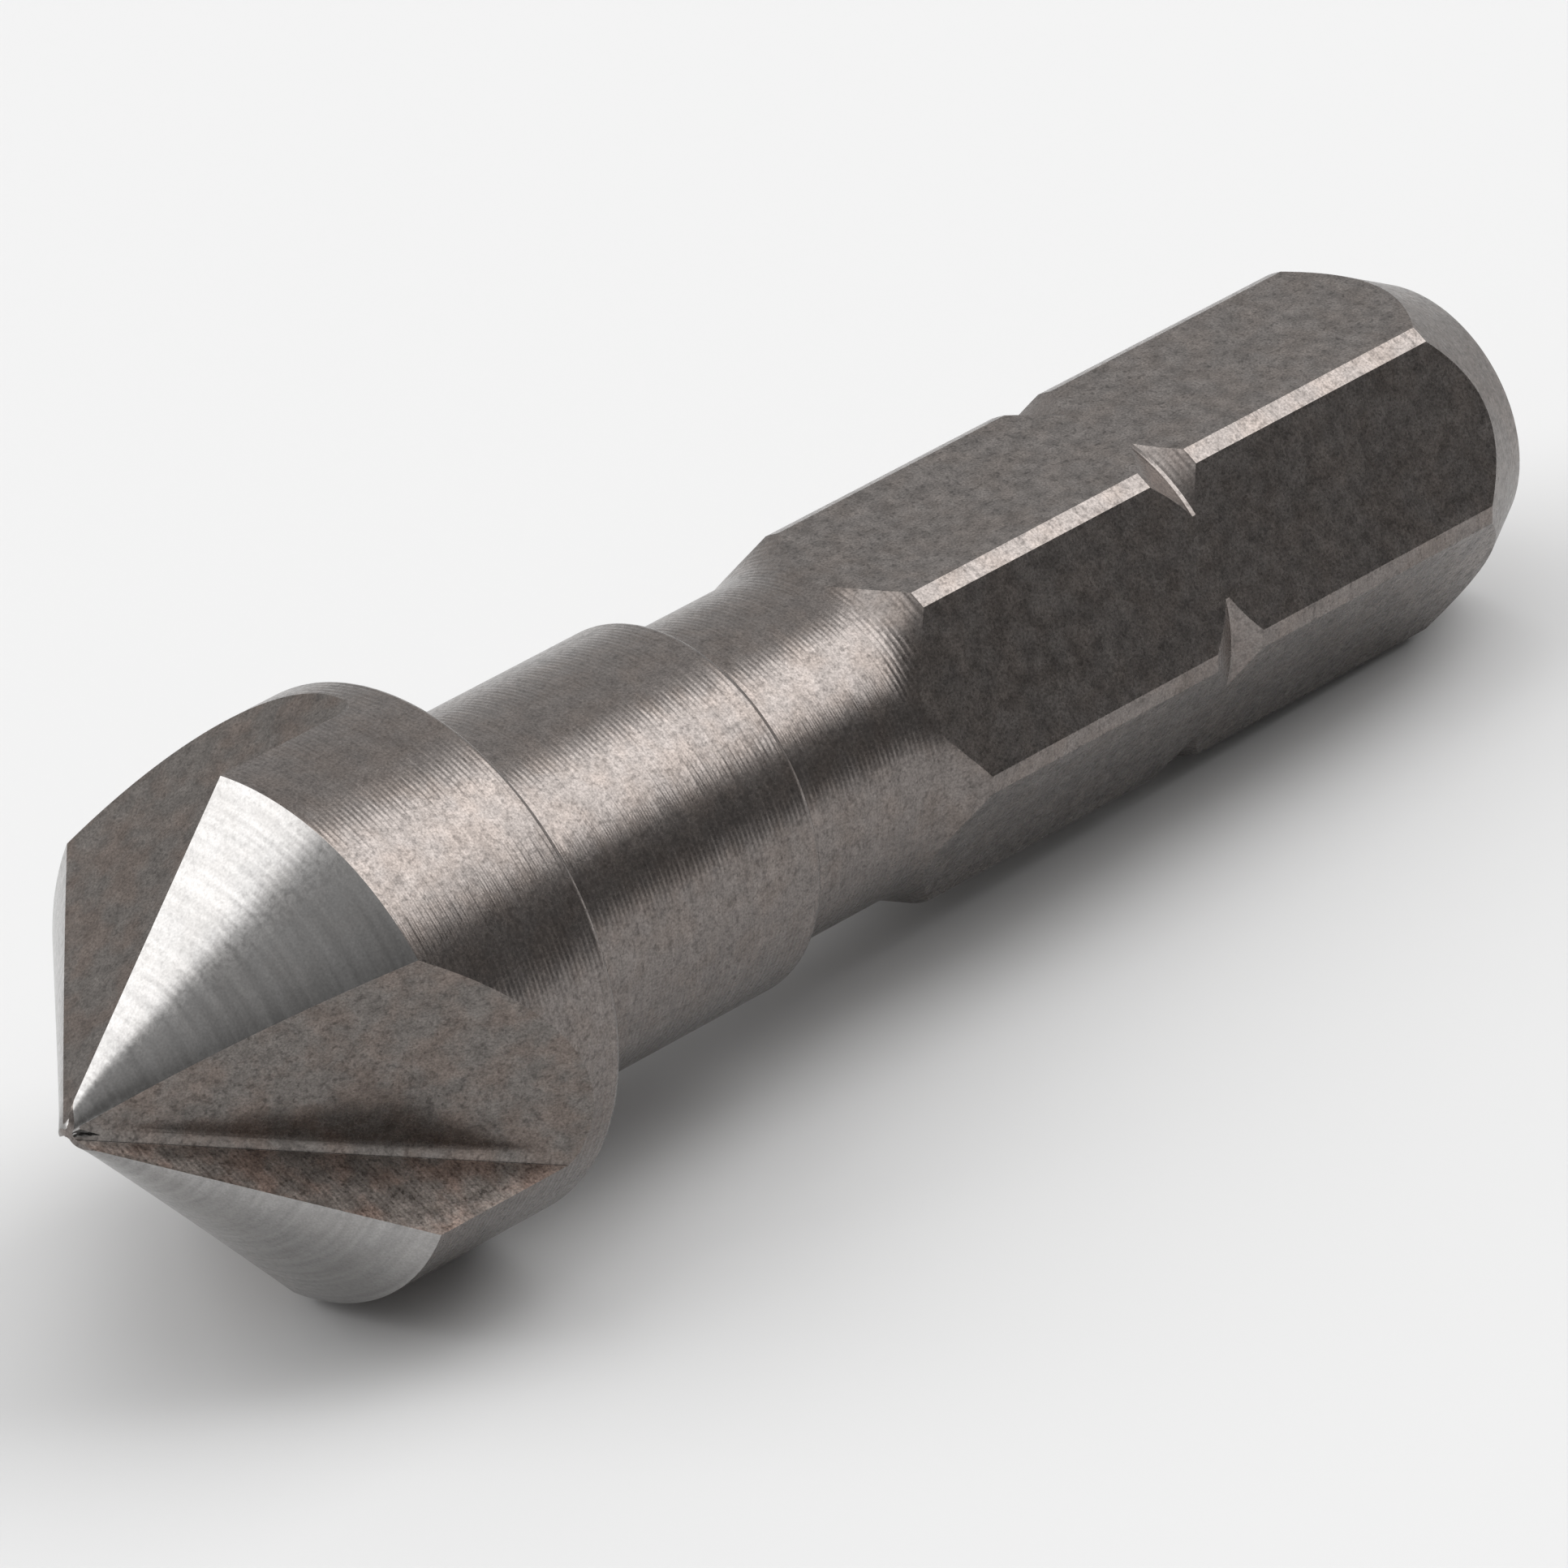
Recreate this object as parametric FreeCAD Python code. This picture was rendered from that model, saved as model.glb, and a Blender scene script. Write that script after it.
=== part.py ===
import FreeCAD, Part
from math import acos, atan2, cos, degrees, radians, sin, sqrt, tan
import os

# Countersink bit, turned and ground from one bar, all sizes in millimetres.
# It is drawn along +X with the sharp point of the cone at x = 0 and then laid down.
# Angles about the tool axis are counted from +Z towards -Y.

# Cutting head
point_angle = 90.0
head_diameter = 10.0
head_length = 9.00          # from the sharp point to the back face
head_rim_radius = 0.15      # rounded edge of the back face
tip_flat_at = 0.70          # the ground point ends here
lip_turn = -5.2             # first cutting lip against the top flat of the hexagon
lips = 3

# Back-off: behind its lip each land falls away like a thread of this lead
relief_lead = 1.30
relief_core = 0.10          # the wheel passes the tool axis at this distance

# Chip flute, a straight pass of a grinding wheel
flute_climb = 32.9          # flute floor against the tool axis
flute_start = 0.27          # where the floor line meets the tool axis
wall_splay = 15.0           # wall against the square of the rake face, at the floor
wall_radius = 19.0
floor_radius = 0.15

# Shank
shank_diameter = 7.08       # collar, and what is left of the corners of the hexagon
collar_length = 6.50
collar_rim_radius = 0.15
neck_diameter = 6.20
neck_length = 2.95          # straight part of the neck
flare_radius = 2.30         # run-out from the neck up to the hexagon
across_flats = 6.30
hexagon_length = 16.36      # from the end of the neck to the end face

# Shank end
end_face_diameter = 5.20
end_chamfer_angle = 27.5

# Catch notch in the six corners
notch_from_end = 8.45
notch_depth = 0.29
notch_floor = 0.09
notch_head_flank = 0.66
notch_tail_flank = 0.46

head_radius = head_diameter / 2
shank_radius = shank_diameter / 2
neck_radius = neck_diameter / 2
half_flats = across_flats / 2
end_radius = end_face_diameter / 2

collar_end = head_length + collar_length
neck_end = collar_end + neck_length
overall = neck_end + hexagon_length
clear = head_diameter       # how far the cutting shapes reach past the bar

axis = FreeCAD.Vector(1, 0, 0)
origin = FreeCAD.Vector(0, 0, 0)


def station(x, r):
    """Point of the turned outline, in the plane y = 0."""
    return FreeCAD.Vector(x, 0, r)


def polygon_edges(points):
    return [Part.makeLine(a, b) for a, b in zip(points, points[1:])]


def turned(edges, span=360.0):
    """Solid of revolution about the tool axis of a closed outline."""
    return Part.Face(Part.Wire(edges)).revolve(origin, axis, span)


def rounded_rim(x, r, radius):
    """Quarter round at the back edge of a cylinder that ends at x."""
    shift = radius * (1 - sin(radians(45)))
    return Part.Arc(station(x - radius, r), station(x - shift, r - shift), station(x, r - radius)).toShape()


def flare_to_hexagon():
    """Hollow round from the neck out to the corners of the hexagon."""
    rise = shank_radius - neck_radius
    run = sqrt(2 * flare_radius * rise - rise ** 2)
    half = atan2(run, flare_radius - rise) / 2
    middle = station(neck_end + flare_radius * sin(half), neck_radius + flare_radius * (1 - cos(half)))
    return Part.Arc(station(neck_end, neck_radius), middle, station(neck_end + run, shank_radius)).toShape()


def turned_bar():
    """Head, collar, neck and shank as they leave the lathe, with a blunt front."""
    chamfer_length = (shank_radius - end_radius) / tan(radians(end_chamfer_angle))
    head_rim = rounded_rim(head_length, head_radius, head_rim_radius)
    collar_rim = rounded_rim(collar_end, shank_radius, collar_rim_radius)
    flare = flare_to_hexagon()
    front = [station(0, 0), station(0, head_radius), head_rim.Vertexes[0].Point]
    collar = [head_rim.Vertexes[-1].Point, station(head_length, shank_radius),
              collar_rim.Vertexes[0].Point]
    neck = [collar_rim.Vertexes[-1].Point, station(collar_end, neck_radius), flare.Vertexes[0].Point]
    back = [flare.Vertexes[-1].Point,
            station(overall - chamfer_length, shank_radius),
            station(overall, end_radius),
            station(overall, 0),
            station(0, 0)]
    return turned(polygon_edges(front) + [head_rim] + polygon_edges(collar) + [collar_rim]
                  + polygon_edges(neck) + [flare] + polygon_edges(back))


def hexagon_waste():
    """What the six milled flats take off the shank."""
    corner = half_flats / cos(radians(30))
    points = [FreeCAD.Vector(neck_end, corner * cos(radians(60 * i)), corner * sin(radians(60 * i)))
              for i in range(7)]
    length = FreeCAD.Vector(hexagon_length + clear, 0, 0)
    core = Part.Face(Part.Wire(polygon_edges(points))).extrude(length)
    sleeve = Part.makeCylinder(clear, hexagon_length + clear, axis * neck_end, axis)
    return sleeve.cut(core)


def notch_ring():
    """Groove that only reaches the corners of the hexagon."""
    bottom = shank_radius - notch_depth
    middle = overall - notch_from_end
    past = 1.0                      # both flanks run on beyond the corners
    head_side = middle - notch_floor / 2
    tail_side = middle + notch_floor / 2
    points = [station(head_side, bottom),
              station(tail_side, bottom),
              station(tail_side + notch_tail_flank * (1 + past), bottom + notch_depth * (1 + past)),
              station(head_side - notch_head_flank * (1 + past), bottom + notch_depth * (1 + past))]
    return turned(polygon_edges(points + points[:1]))


def land_waste():
    """What the wheel takes off in front of one land, its lip at angle zero."""
    before_lip = 20.0               # both ends of the pass fall inside a flute
    span = 360.0 / lips + 5.0
    rise = relief_lead * span / 360
    slope = 1 / tan(radians(point_angle / 2))
    along_tool = FreeCAD.Rotation(FreeCAD.Vector(0, 0, 1), FreeCAD.Vector(0, -1, 0), axis, "ZXY")

    def thread(r):
        """Path of one point of the cone's line, at distance r from the tool axis."""
        path = Part.makeHelix(relief_lead, rise, r)
        path.Placement = FreeCAD.Placement(axis * (r * slope), along_tool)
        return path.Edges[0]

    land = Part.makeRuledSurface(thread(relief_core), thread(head_radius + relief_core))
    waste = land.extrude(axis * -clear)
    waste.rotate(origin, axis, -before_lip)
    waste.translate(axis * (-relief_lead * before_lip / 360))
    return waste


def flute_cutter():
    """Wheel pass of one flute: rake face in y = 0 under the lip, wall on its +Y side."""
    climb = radians(flute_climb)
    along = FreeCAD.Vector(cos(climb), 0, sin(climb))
    outward = FreeCAD.Vector(-sin(climb), 0, cos(climb))
    across = FreeCAD.Vector(0, 1, 0)
    splay = radians(wall_splay)
    run_in = clear / 2
    start = axis * flute_start - along * run_in

    def wall(turn):
        """Point on the arc of the wall, the wheel profile, from the floor corner on."""
        w = wall_radius * (cos(splay) - cos(splay - turn))
        v = wall_radius * (sin(splay) - sin(splay - turn))
        return start + outward * w + across * v

    corner = wall(0)
    top = wall(clear / wall_radius)
    arc = Part.Arc(corner, wall(clear / wall_radius / 2), top).toShape()
    above = outward * clear
    profile = Part.Face(Part.Wire([arc] + polygon_edges([top, top + above, corner + above, corner])))
    cutter = profile.extrude(along * (run_in + overall))
    floor = [edge for edge in cutter.Edges
             if all(vertex.Point.distanceToLine(corner, along) < 1e-6 for vertex in edge.Vertexes)]
    return cutter.makeFillet(floor_radius, floor)


def countersink_bit():
    bit = turned_bar().cut(hexagon_waste()).cut(notch_ring())
    for cutter in (land_waste(), flute_cutter()):
        for i in range(lips):
            turned_cutter = cutter.copy()
            turned_cutter.rotate(origin, axis, lip_turn + 360.0 / lips * i)
            bit = bit.cut(turned_cutter)
    blunt = Part.makeBox(clear, 2 * clear, 2 * clear,
                         FreeCAD.Vector(tip_flat_at - clear, -clear, -clear))
    return bit.cut(blunt).removeSplitter().Solids[0]


def tail_drop():
    """Slope at which it rests, on the rim of the head and on the end of the flat below."""
    flat_end = overall - (half_flats - end_radius) / tan(radians(end_chamfer_angle))
    down = head_radius - head_rim_radius - half_flats
    back = flat_end - (head_length - head_rim_radius)
    return degrees(acos(-head_rim_radius / sqrt(down ** 2 + back ** 2)) - atan2(back, down))


def laid_down(shape):
    shape.rotate(origin, FreeCAD.Vector(0, 1, 0), tail_drop())
    box = shape.optimalBoundingBox(False, False)
    shape.translate(FreeCAD.Vector(-box.Center.x, -box.Center.y, -box.ZMin))
    return shape


os.makedirs("parts", exist_ok=True)
shape = laid_down(countersink_bit())
shape.exportStep("parts/countersink_bit.step")
print("countersink_bit", shape.ShapeType, len(shape.Solids), "valid", shape.isValid(),
      "volume", round(shape.Volume, 2), "tail drop", round(tail_drop(), 3))
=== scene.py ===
from math import acos, asin, atan2, cos, hypot, pi, radians, sin, tan

import bmesh
import bpy
from mathutils import Matrix, Vector


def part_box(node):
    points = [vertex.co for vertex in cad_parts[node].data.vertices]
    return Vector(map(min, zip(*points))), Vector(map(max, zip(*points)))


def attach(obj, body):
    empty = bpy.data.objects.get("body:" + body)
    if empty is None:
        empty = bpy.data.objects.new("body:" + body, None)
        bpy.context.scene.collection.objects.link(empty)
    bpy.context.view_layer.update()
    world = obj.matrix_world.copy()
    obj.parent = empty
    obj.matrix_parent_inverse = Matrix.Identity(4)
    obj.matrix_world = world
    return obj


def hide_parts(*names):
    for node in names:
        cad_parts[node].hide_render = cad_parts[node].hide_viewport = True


# Countersink bit lying on a pale floor. Metres, in the CAD frame.
# Every cutter is made with the tool axis on X and the sharp point at x = 0, as on the grinding
# machine, and the finished bit is laid down at the end.

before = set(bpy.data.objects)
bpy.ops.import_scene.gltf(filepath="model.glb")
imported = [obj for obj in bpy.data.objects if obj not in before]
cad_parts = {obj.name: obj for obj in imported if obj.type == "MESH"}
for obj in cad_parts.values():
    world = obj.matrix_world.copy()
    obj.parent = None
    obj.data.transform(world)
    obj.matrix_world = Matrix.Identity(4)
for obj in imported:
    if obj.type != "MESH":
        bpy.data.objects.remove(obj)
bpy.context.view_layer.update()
mm = 0.001
node = "countersink_bit"
toolAxis = Vector((1, 0, 0))
centre = Vector((0, 0, 0))
reach = 10 * mm                      # how far the cutters stand out past the bit
weld = 0.00001 * mm                  # points nearer than this are one point
cutWeld = 0.0001 * mm                # the same after the cuts, which leave slivers
flush = 0.001 * mm                   # a face this near a plane lies in it
crispAngle = radians(14)             # steeper edges than this are drawn sharp

bar = {
    "headRadius": 5.0 * mm,
    "headEnd": 9.0 * mm,
    "rimRadius": 0.15 * mm,
    "collarRadius": 3.54 * mm,
    "collarEnd": 15.5 * mm,
    "neckRadius": 3.10 * mm,
    "neckEnd": 18.45 * mm,
    "flareRadius": 2.30 * mm,
    "length": 34.81 * mm,
    "endRadius": 2.60 * mm,
    "endChamfer": radians(27.5),
    "noseRadius": 0.85 * mm,         # worn round point
    "noseFront": 0.705 * mm,         # how far back from the sharp point it starts
    "noseSweep": radians(42),
    "noseSteps": 12,
    "blankEdge": 4.0 * mm,           # the blank stands clear of the lands out to here
    "stepsRound": 360,
    "rimSteps": 10,
    "flareSteps": 16,
}


def report(text):
    print("countersink scene:", text)


# small helpers

def finishMesh(bm, name):
    bmesh.ops.remove_doubles(bm, verts=bm.verts, dist=weld)
    bmesh.ops.recalc_face_normals(bm, faces=bm.faces)
    mesh = bpy.data.meshes.new(name)
    bm.to_mesh(mesh)
    bm.free()
    piece = bpy.data.objects.new(name, mesh)
    bpy.context.scene.collection.objects.link(piece)
    return piece


def chain(bm, points, closed=False):
    verts = [bm.verts.new(p) for p in points]
    for a, b in zip(verts, verts[1:]):
        bm.edges.new((a, b))
    if closed:
        bm.edges.new((verts[-1], verts[0]))
    return verts


def arcPoints(middle, radius, start, end, steps):
    # points on a round stretch of the turned outline, angles counted from +X towards the rim
    turns = [start + (end - start) * i / steps for i in range(steps + 1)]
    return [Vector((middle[0] + radius * cos(t), 0, middle[1] + radius * sin(t))) for t in turns]


def spun(bm, steps):
    bmesh.ops.spin(bm, geom=bm.verts[:] + bm.edges[:], cent=centre, axis=toolAxis,
                   angle=2 * pi, steps=steps, use_merge=True)


def painted(piece, material):
    piece.data.materials.append(material)
    return piece


# the turned bar

def chamferStart():
    return bar["length"] - (bar["collarRadius"] - bar["endRadius"]) / tan(bar["endChamfer"])


def barOutline():
    b = bar
    rim = b["rimRadius"]
    headRim = arcPoints((b["headEnd"] - rim, b["headRadius"] - rim), rim, pi / 2, 0, b["rimSteps"])
    collarRim = arcPoints((b["collarEnd"] - rim, b["collarRadius"] - rim), rim, pi / 2, 0,
                          b["rimSteps"])
    rise = b["collarRadius"] - b["neckRadius"]
    sweep = acos(1 - rise / b["flareRadius"])
    flare = arcPoints((b["neckEnd"], b["neckRadius"] + b["flareRadius"]), b["flareRadius"],
                      -pi / 2, -pi / 2 + sweep, b["flareSteps"])
    nose = arcPoints((b["noseFront"] + b["noseRadius"], 0), b["noseRadius"],
                     pi, pi - b["noseSweep"], b["noseSteps"])
    return (nose + [Vector((b["blankEdge"], 0, b["headRadius"]))] + headRim
            + [Vector((b["headEnd"], 0, b["collarRadius"]))] + collarRim
            + [Vector((b["collarEnd"], 0, b["neckRadius"]))] + flare
            + [Vector((chamferStart(), 0, b["collarRadius"])),
               Vector((b["length"], 0, b["endRadius"])),
               Vector((b["length"], 0, 0))])


def turnedBar(material, endShadeMaterial):
    # the chamfer and the end face get the second material, a darker copy of the turned steel whose
    # darker colour is painted shade
    bm = bmesh.new()
    chain(bm, barOutline())
    spun(bm, bar["stepsRound"])
    for face in bm.faces:
        atEnd = min(v.co.x for v in face.verts) > chamferStart() - flush
        face.material_index = 1 if atEnd else 0
    return painted(painted(finishMesh(bm, "bar"), material), endShadeMaterial)


# the hexagon and its catch notches

shank = {
    "halfFlats": 3.15 * mm,
    "waste": 4,                      # the cutter reaches this many times as far as the corners
    "notchFromEnd": 8.45 * mm,
    "notchDepth": 0.29 * mm,
    "notchFloor": 0.09 * mm,
    "headFlank": 0.66 * mm,
    "tailFlank": 0.46 * mm,
    "past": 1.0,                     # both flanks run on beyond the corners
}


def hexagonCutter(material):
    corner = shank["halfFlats"] / cos(pi / 6)
    bm = bmesh.new()
    turn = Matrix.Translation((bar["neckEnd"], 0, 0)) @ Matrix.Rotation(pi / 2, 4, "Y")
    for size in (corner, shank["waste"] * corner):
        bmesh.ops.create_circle(bm, segments=6, radius=size, matrix=turn)
    bmesh.ops.bridge_loops(bm, edges=bm.edges[:])
    grown = bmesh.ops.extrude_face_region(bm, geom=bm.faces[:])
    moved = [v for v in grown["geom"] if isinstance(v, bmesh.types.BMVert)]
    bmesh.ops.translate(bm, verts=moved, vec=toolAxis * (bar["length"] - bar["neckEnd"] + reach))
    return painted(finishMesh(bm, "hexagonCutter"), material)


def notchCutter(material):
    s = shank
    middle = bar["length"] - s["notchFromEnd"]
    bottom = bar["collarRadius"] - s["notchDepth"]
    top = bottom + s["notchDepth"] * (1 + s["past"])
    headSide = middle - s["notchFloor"] / 2
    tailSide = middle + s["notchFloor"] / 2
    bm = bmesh.new()
    chain(bm, [(headSide, 0, bottom), (tailSide, 0, bottom),
               (tailSide + s["tailFlank"] * (1 + s["past"]), 0, top),
               (headSide - s["headFlank"] * (1 + s["past"]), 0, top)], closed=True)
    spun(bm, bar["stepsRound"])
    return painted(finishMesh(bm, "notchCutter"), material)


# the three cone lands and the three chip flutes

cone = {
    "lips": 3,
    "lipTurn": radians(-5.2),
    "point": 0.40 * mm,              # where the lips would meet the axis
    "slope": 0.92,                   # run along the axis for each step outward
    "reliefLead": 1.30 * mm,         # a land falls away like a thread of this lead
    "reliefCore": 0.10 * mm,         # the wheel passes the tool axis at this distance
    "beforeLip": radians(20),        # the pass starts and ends inside a flute
    "span": radians(125),
    "stepsRound": 125,
    "stepsOut": 8,
}

flute = {
    "climb": radians(33.4),          # foot of the wall against the tool axis
    "start": 0.60 * mm,
    "splay": radians(11.3),          # wall against the square of the rake face
    "wallRadius": 32 * mm,
    "wallSteps": 40,
    "hollowRadius": 0.72 * mm,       # the corner of the wheel, hollow at the foot of the wall
    "hollowWidth": 0.29 * mm,
    "hollowSteps": 14,
    "floorRadius": 0.02 * mm,        # worn edge of the wheel, between the hollow and the rake face
    "floorSteps": 4,
}


def landCutter(turn, material):
    c = cone
    bm = bmesh.new()
    radii = [c["reliefCore"] + bar["headRadius"] * i / c["stepsOut"] for i in range(c["stepsOut"] + 1)]
    chain(bm, [(c["point"] + r * c["slope"], 0, r) for r in radii])
    rise = c["reliefLead"] * c["span"] / (2 * pi)
    bmesh.ops.spin(bm, geom=bm.verts[:] + bm.edges[:], cent=centre, axis=toolAxis,
                   dvec=toolAxis * (rise / c["stepsRound"]), angle=c["span"], steps=c["stepsRound"])
    front = bmesh.ops.extrude_face_region(bm, geom=bm.faces[:])
    moved = [v for v in front["geom"] if isinstance(v, bmesh.types.BMVert)]
    bmesh.ops.translate(bm, verts=moved, vec=toolAxis * -reach)
    startBack = c["reliefLead"] * c["beforeLip"] / (2 * pi)
    bmesh.ops.translate(bm, verts=bm.verts, vec=toolAxis * -startBack)
    bmesh.ops.rotate(bm, verts=bm.verts, cent=centre,
                     matrix=Matrix.Rotation(turn - c["beforeLip"], 3, "X"))
    return painted(finishMesh(bm, "landCutter"), material)


def fluteProfile():
    # wall of the wheel pass as (across, outward) points, hollow foot first and then the long
    # flat arc, and the angle between that foot and the rake face
    f = flute
    firstTurn = f["splay"] - asin(sin(f["splay"]) - f["hollowWidth"] / f["wallRadius"])
    turns = [firstTurn + (reach / f["wallRadius"] - firstTurn) * i / f["wallSteps"]
             for i in range(f["wallSteps"] + 1)]
    wall = [(f["wallRadius"] * (sin(f["splay"]) - sin(f["splay"] - t)),
             f["wallRadius"] * (cos(f["splay"]) - cos(f["splay"] - t))) for t in turns]
    lean = f["splay"] - firstTurn
    radius = f["hollowRadius"]
    middle = (wall[0][0] + radius * sin(lean), wall[0][1] + radius * cos(lean))
    steepest = asin(middle[0] / radius)
    slopes = [steepest + (lean - steepest) * i / f["hollowSteps"] for i in range(f["hollowSteps"])]
    hollow = [(middle[0] - radius * sin(s), middle[1] - radius * cos(s)) for s in slopes]
    return hollow + wall, pi / 2 + steepest


def fluteCutter(turn, wallSteel, rakeSteel):
    # the rake face lies in y = 0 until the cutter is turned, the wall stands on its +Y side
    f = flute
    along = Vector((cos(f["climb"]), 0, sin(f["climb"])))
    outward = Vector((-sin(f["climb"]), 0, cos(f["climb"])))
    across = Vector((0, 1, 0))
    start = toolAxis * f["start"] - along * (reach / 2)
    profile, footAngle = fluteProfile()
    wall = [start + across * v + outward * w for v, w in profile]
    bm = bmesh.new()
    verts = chain(bm, wall + [wall[-1] + outward * reach, wall[0] + outward * reach], closed=True)
    bm.faces.new(verts)
    bmesh.ops.bevel(bm, geom=[verts[0]], offset=f["floorRadius"] / tan(footAngle / 2),
                    offset_type="OFFSET", segments=f["floorSteps"], profile=0.5,
                    affect="VERTICES", material=-1)
    grown = bmesh.ops.extrude_face_region(bm, geom=bm.faces[:])
    moved = [v for v in grown["geom"] if isinstance(v, bmesh.types.BMVert)]
    bmesh.ops.translate(bm, verts=moved, vec=along * (reach / 2 + bar["length"]))
    for face in bm.faces:
        onRake = all(abs(v.co.y) < flush for v in face.verts)
        face.material_index = 1 if onRake else 0
    bmesh.ops.rotate(bm, verts=bm.verts, cent=centre, matrix=Matrix.Rotation(turn, 3, "X"))
    return painted(painted(finishMesh(bm, "fluteCutter"), wallSteel), rakeSteel)


def cutAway(piece, cutter):
    step = piece.modifiers.new("cut", "BOOLEAN")
    step.operation = "DIFFERENCE"
    step.solver = "MANIFOLD"
    step.material_mode = "TRANSFER"
    step.object = cutter
    seen = piece.evaluated_get(bpy.context.evaluated_depsgraph_get())
    cut = bpy.data.meshes.new_from_object(seen)
    piece.modifiers.clear()
    piece.data = cut
    bpy.data.objects.remove(cutter)


# rest: the rim of the head and the end of the lower flat touch the floor

def tailDrop():
    flatEnd = bar["length"] - (shank["halfFlats"] - bar["endRadius"]) / tan(bar["endChamfer"])
    down = bar["headRadius"] - bar["rimRadius"] - shank["halfFlats"]
    back = flatEnd - (bar["headEnd"] - bar["rimRadius"])
    return acos(-bar["rimRadius"] / hypot(down, back)) - atan2(back, down)


def layDown(piece):
    # turned about Y, then moved so that its tail end and its lowest point meet the solid's
    mesh = piece.data
    mesh.transform(Matrix.Rotation(tailDrop(), 4, "Y"))
    corners = [v.co for v in mesh.vertices]
    low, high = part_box(node)
    move = Vector((high[0] - max(c.x for c in corners), 0, low[2] - min(c.z for c in corners)))
    mesh.transform(Matrix.Translation(move))


def crispEdges(piece):
    bm = bmesh.new()
    bm.from_mesh(piece.data)
    bmesh.ops.remove_doubles(bm, verts=bm.verts, dist=cutWeld)
    bmesh.ops.dissolve_degenerate(bm, edges=bm.edges, dist=cutWeld)
    for face in bm.faces:
        face.smooth = True
    for edge in bm.edges:
        edge.smooth = edge.calc_face_angle(0) < crispAngle
    bm.to_mesh(piece.data)
    bm.free()


# finishes, one of them a darker copy of the turned steel with painted shade

finishes = {
    "turnedSteel": {"colour": (0.205, 0.184, 0.173), "warm": (0.208, 0.181, 0.166), "roughness": 0.24,
                    "speckle": 0.26, "spots": 0.26, "patches": 0.13, "streaks": 0.07, "rings": 0.50},
    # darker copy of the turned steel for the end chamfer and end face: its darker colour is painted
    # shade, its shallower rings and rougher finish are the surface's own
    "turnedEndPaintedShade": {"colour": (0.186, 0.168, 0.158), "warm": (0.188, 0.165, 0.152), "roughness": 0.30,
                  "speckle": 0.22, "spots": 0.24, "patches": 0.12, "streaks": 0.05, "rings": 0.14},
    "milledFlat": {"colour": (0.214, 0.194, 0.183), "warm": (0.218, 0.192, 0.177), "roughness": 0.28,
                   "speckle": 0.32, "spots": 0.40, "patches": 0.26, "streaks": 0.03, "rings": 0.12},
    "groundLand": {"colour": (0.392, 0.383, 0.376), "warm": (0.388, 0.377, 0.368), "roughness": 0.20,
                   "speckle": 0.10, "spots": 0.09, "patches": 0.04, "streaks": 0.12, "rings": 0.34},
    "fluteWall": {"colour": (0.180, 0.164, 0.153), "warm": (0.193, 0.162, 0.145), "roughness": 0.25,
                  "speckle": 0.26, "spots": 0.32, "patches": 0.18, "streaks": 0.02, "rings": 0.05},
    "rakeFace": {"colour": (0.226, 0.197, 0.178), "warm": (0.255, 0.191, 0.162), "roughness": 0.42,
                 "speckle": 0.34, "spots": 0.48, "patches": 0.34, "streaks": 0.03, "rings": 0.20},
    "catchNotch": {"colour": (0.225, 0.203, 0.191), "warm": (0.229, 0.200, 0.186), "roughness": 0.26,
                   "speckle": 0.22, "spots": 0.24, "patches": 0.10, "streaks": 0.04, "rings": 0.30},
}

# noises that make the steel uneven: features per metre, how much finer they are along the tool
# axis than around it, levels of detail, and the part of the noise that is used
noises = {
    "grain": {"scale": 24000, "squeeze": 1, "detail": 2, "low": 0.30, "high": 0.70},
    "spots": {"scale": 9500, "squeeze": 1, "detail": 3, "low": 0.54, "high": 0.68},
    "clouds": {"scale": 1500, "squeeze": 1, "detail": 3, "low": 0.42, "high": 0.62},
    "patches": {"scale": 3200, "squeeze": 1, "detail": 4, "low": 0.30, "high": 0.70},
    "rings": {"scale": 420, "squeeze": 22, "detail": 2, "low": 0.30, "high": 0.70},
}

# the lathe's feed leaves an even ring at this pitch, which wanders a little
feed = {"pitch": 0.11 * mm, "share": 0.45, "wander": 1.5, "wanderScale": 0.3}
ringDepth = 0.012 * mm

# the spots also dull the steel, between these levels of their noise and by these steps
dulling = {"low": 0.35, "high": 0.65, "polish": 0.04, "dull": 0.07}


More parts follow.
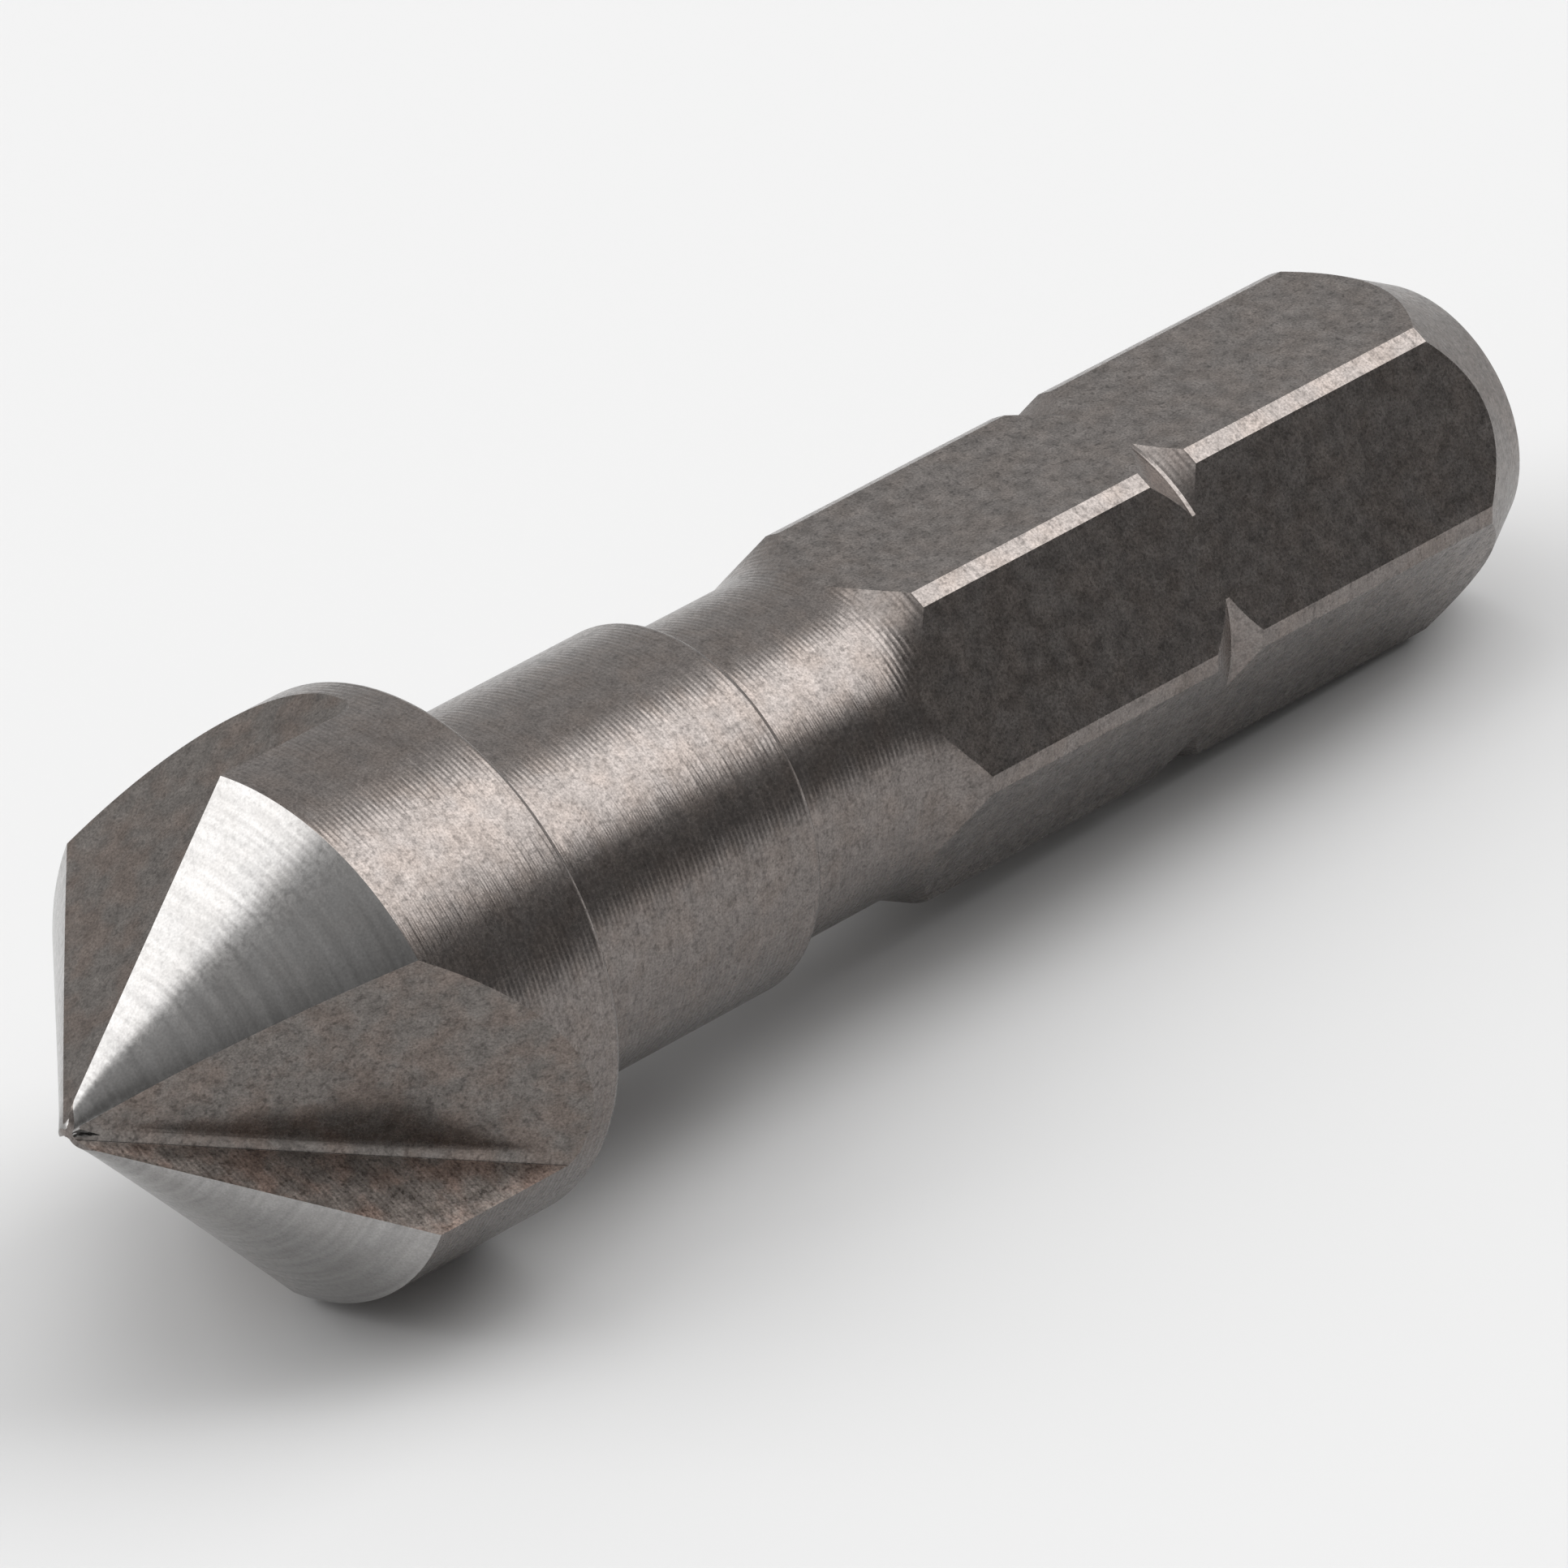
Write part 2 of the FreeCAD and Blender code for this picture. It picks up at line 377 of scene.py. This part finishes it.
def steelFinish(name, look):
    material = bpy.data.materials.new(name)
    material.use_nodes = True
    nodes = material.node_tree.nodes
    links = material.node_tree.links
    shader = nodes["Principled BSDF"]
    shader.inputs["Metallic"].default_value = 1.0

    where = nodes.new("ShaderNodeTexCoord")
    onTool = nodes.new("ShaderNodeMapping")        # back on the machine: tool axis along X
    onTool.inputs["Rotation"].default_value = (0, -tailDrop(), 0)
    links.new(where.outputs["Object"], onTool.inputs["Vector"])

    def noise(spec):
        squeeze = nodes.new("ShaderNodeMapping")
        squeeze.inputs["Scale"].default_value = (spec["squeeze"], 1, 1)
        texture = nodes.new("ShaderNodeTexNoise")
        texture.inputs["Scale"].default_value = spec["scale"]
        texture.inputs["Detail"].default_value = spec["detail"]
        links.new(onTool.outputs["Vector"], squeeze.inputs["Vector"])
        links.new(squeeze.outputs["Vector"], texture.inputs["Vector"])
        return texture.outputs["Fac"]

    def ranged(value, start, end, low, high):
        span = nodes.new("ShaderNodeMapRange")
        span.inputs["From Min"].default_value = start
        span.inputs["From Max"].default_value = end
        span.inputs["To Min"].default_value = low
        span.inputs["To Max"].default_value = high
        links.new(value, span.inputs["Value"])
        return span.outputs["Result"]

    def mixed(blend, factor, a, b):
        mix = nodes.new("ShaderNodeMix")
        mix.data_type = "RGBA"
        mix.blend_type = blend
        for socket, value in (("Factor", factor), ("A", a), ("B", b)):
            if isinstance(value, bpy.types.NodeSocket):
                links.new(value, mix.inputs[socket])
            else:
                mix.inputs[socket].default_value = value
        return mix.outputs["Result"]

    fields = {kind: noise(spec) for kind, spec in noises.items()}

    def used(kind, low, high):
        return ranged(fields[kind], noises[kind]["low"], noises[kind]["high"], low, high)

    def shaded(colour, kind, low, high):
        return mixed("MULTIPLY", 1.0, colour, used(kind, low, high))

    steel = mixed("MIX", used("clouds", 0, 1), (*look["colour"], 1), (*look["warm"], 1))
    steel = shaded(steel, "grain", 1 - look["speckle"], 1 + look["speckle"])
    steel = shaded(steel, "spots", 1, 1 - look["spots"])
    steel = shaded(steel, "patches", 1 - look["patches"], 1 + look["patches"])
    steel = shaded(steel, "rings", 1 - look["streaks"], 1 + look["streaks"])
    links.new(steel, shader.inputs["Base Color"])
    links.new(ranged(fields["spots"], dulling["low"], dulling["high"],
                     look["roughness"] - dulling["polish"], look["roughness"] + dulling["dull"]),
              shader.inputs["Roughness"])

    feedRings = nodes.new("ShaderNodeTexWave")
    feedRings.inputs["Scale"].default_value = 2 * pi / (20 * feed["pitch"])  # 20 radians to a unit
    feedRings.inputs["Distortion"].default_value = feed["wander"]
    feedRings.inputs["Detail Scale"].default_value = feed["wanderScale"]
    links.new(onTool.outputs["Vector"], feedRings.inputs["Vector"])
    height = nodes.new("ShaderNodeMath")
    height.operation = "MULTIPLY_ADD"
    height.inputs[1].default_value = feed["share"]
    links.new(feedRings.outputs["Fac"], height.inputs[0])
    links.new(fields["rings"], height.inputs[2])

    bump = nodes.new("ShaderNodeBump")
    bump.inputs["Distance"].default_value = look["rings"] * ringDepth
    links.new(height.outputs[0], bump.inputs["Height"])
    links.new(bump.outputs["Normal"], shader.inputs["Normal"])
    return material


# building it

def countersinkBit():
    steel = {name: steelFinish(name, look) for name, look in finishes.items()}
    piece = turnedBar(steel["turnedSteel"], steel["turnedEndPaintedShade"])
    report("bar turned")
    cutAway(piece, hexagonCutter(steel["milledFlat"]))
    cutAway(piece, notchCutter(steel["catchNotch"]))
    report("hexagon and notches milled")
    lipTurns = [cone["lipTurn"] + 2 * pi * i / cone["lips"] for i in range(cone["lips"])]
    for turn in lipTurns:
        cutAway(piece, landCutter(turn, steel["groundLand"]))
    for turn in lipTurns:
        cutAway(piece, fluteCutter(turn, steel["fluteWall"], steel["rakeFace"]))
    report("lands and flutes ground")
    layDown(piece)
    crispEdges(piece)
    piece.name = "countersinkBit"
    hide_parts(node)
    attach(piece, "root")
    return piece


# floor, light and camera

studio = {
    "floorSize": 4.0,
    "floorColour": (0.78, 0.78, 0.78),
    "floorRoughness": 0.9,
    "floorShine": 0.1,
    "darkSide": 0.17,                # the room's level on the camera's side
}

# pale stretches of the room: where they lie in degrees, how much brighter they are, and the
# cosines from their middle at which they start and are full
glows = {
    "sweep": {"azimuth": 60, "height": 25, "strength": 0.52, "edge": 0.0, "full": 0.55},
    "spill": {"azimuth": 178, "height": 45, "strength": 0.24, "edge": 0.74, "full": 0.98},
}

# square soft boxes: where they hang in degrees, how far off, how wide, and their power
lamps = {
    "railBox": {"azimuth": -21, "height": 49, "distance": 0.8, "width": 0.57, "watts": 2.7},
    "coneBox": {"azimuth": 138, "height": 43, "distance": 0.8, "width": 0.66, "watts": 2.45},
    "topBox": {"azimuth": 0, "height": 90, "distance": 0.85, "width": 0.60, "watts": 1.4},
}

photoView = {
    "azimuth": radians(-133.7486),
    "height": radians(32.8399),
    "roll": radians(-4.7605),
    "aim": (-1.1388 * mm, -1.4974 * mm, 5.0 * mm),
    "distance": 269.62 * mm,
    "lens": 354.19,
    "sensor": 36,
    "nearClip": 0.01,
}


def direction(azimuth, height):
    return Vector((cos(azimuth) * cos(height), sin(azimuth) * cos(height), sin(height)))


def paleFloor():
    bm = bmesh.new()
    bmesh.ops.create_grid(bm, x_segments=1, y_segments=1, size=studio["floorSize"] / 2)
    floor = finishMesh(bm, "floor")
    material = bpy.data.materials.new("floorPaper")
    material.use_nodes = True
    shader = material.node_tree.nodes["Principled BSDF"]
    shader.inputs["Base Color"].default_value = (*studio["floorColour"], 1)
    shader.inputs["Roughness"].default_value = studio["floorRoughness"]
    shader.inputs["Specular IOR Level"].default_value = studio["floorShine"]
    painted(floor, material)


def roomLight():
    # pale sweep behind the bit, dark room on the camera's side
    world = bpy.data.worlds.new("room")
    bpy.context.scene.world = world
    world.use_nodes = True
    nodes = world.node_tree.nodes
    links = world.node_tree.links
    where = nodes.new("ShaderNodeTexCoord")
    level = None
    for glow in glows.values():
        facing = nodes.new("ShaderNodeVectorMath")
        facing.operation = "DOT_PRODUCT"
        facing.inputs[1].default_value = direction(radians(glow["azimuth"]), radians(glow["height"]))
        fade = nodes.new("ShaderNodeMapRange")
        fade.interpolation_type = "SMOOTHSTEP"
        fade.inputs["From Min"].default_value = glow["edge"]
        fade.inputs["From Max"].default_value = glow["full"]
        fade.inputs["To Max"].default_value = glow["strength"]
        links.new(where.outputs["Generated"], facing.inputs[0])
        links.new(facing.outputs["Value"], fade.inputs["Value"])
        total = nodes.new("ShaderNodeMath")
        total.inputs[1].default_value = studio["darkSide"]
        links.new(fade.outputs["Result"], total.inputs[0])
        if level:
            links.new(level, total.inputs[1])
        level = total.outputs[0]
    links.new(level, nodes["Background"].inputs["Strength"])
    nodes["Background"].inputs["Color"].default_value = (1, 1, 1, 1)


def softBox(name, box):
    lamp = bpy.data.lights.new(name, "AREA")
    lamp.shape = "SQUARE"
    lamp.size = box["width"]
    lamp.energy = box["watts"]
    holder = bpy.data.objects.new(name, lamp)
    away = direction(radians(box["azimuth"]), radians(box["height"]))
    holder.location = away * box["distance"]
    holder.rotation_euler = away.to_track_quat("Z", "Y").to_euler()
    bpy.context.scene.collection.objects.link(holder)


def camera():
    v = photoView
    lens = bpy.data.cameras.new("photoCamera")
    lens.lens = v["lens"]
    lens.sensor_width = v["sensor"]
    lens.clip_start = v["nearClip"]
    holder = bpy.data.objects.new("photoCamera", lens)
    away = direction(v["azimuth"], v["height"])
    holder.location = Vector(v["aim"]) + away * v["distance"]
    turn = away.to_track_quat("Z", "Y").to_matrix() @ Matrix.Rotation(v["roll"], 3, "Z")
    holder.rotation_euler = turn.to_euler()
    bpy.context.scene.collection.objects.link(holder)
    bpy.context.scene.camera = holder


countersinkBit()
paleFloor()
roomLight()
for name, box in lamps.items():
    softBox(name, box)
camera()
bpy.context.scene.view_settings.view_transform = "Standard"
report("studio ready")
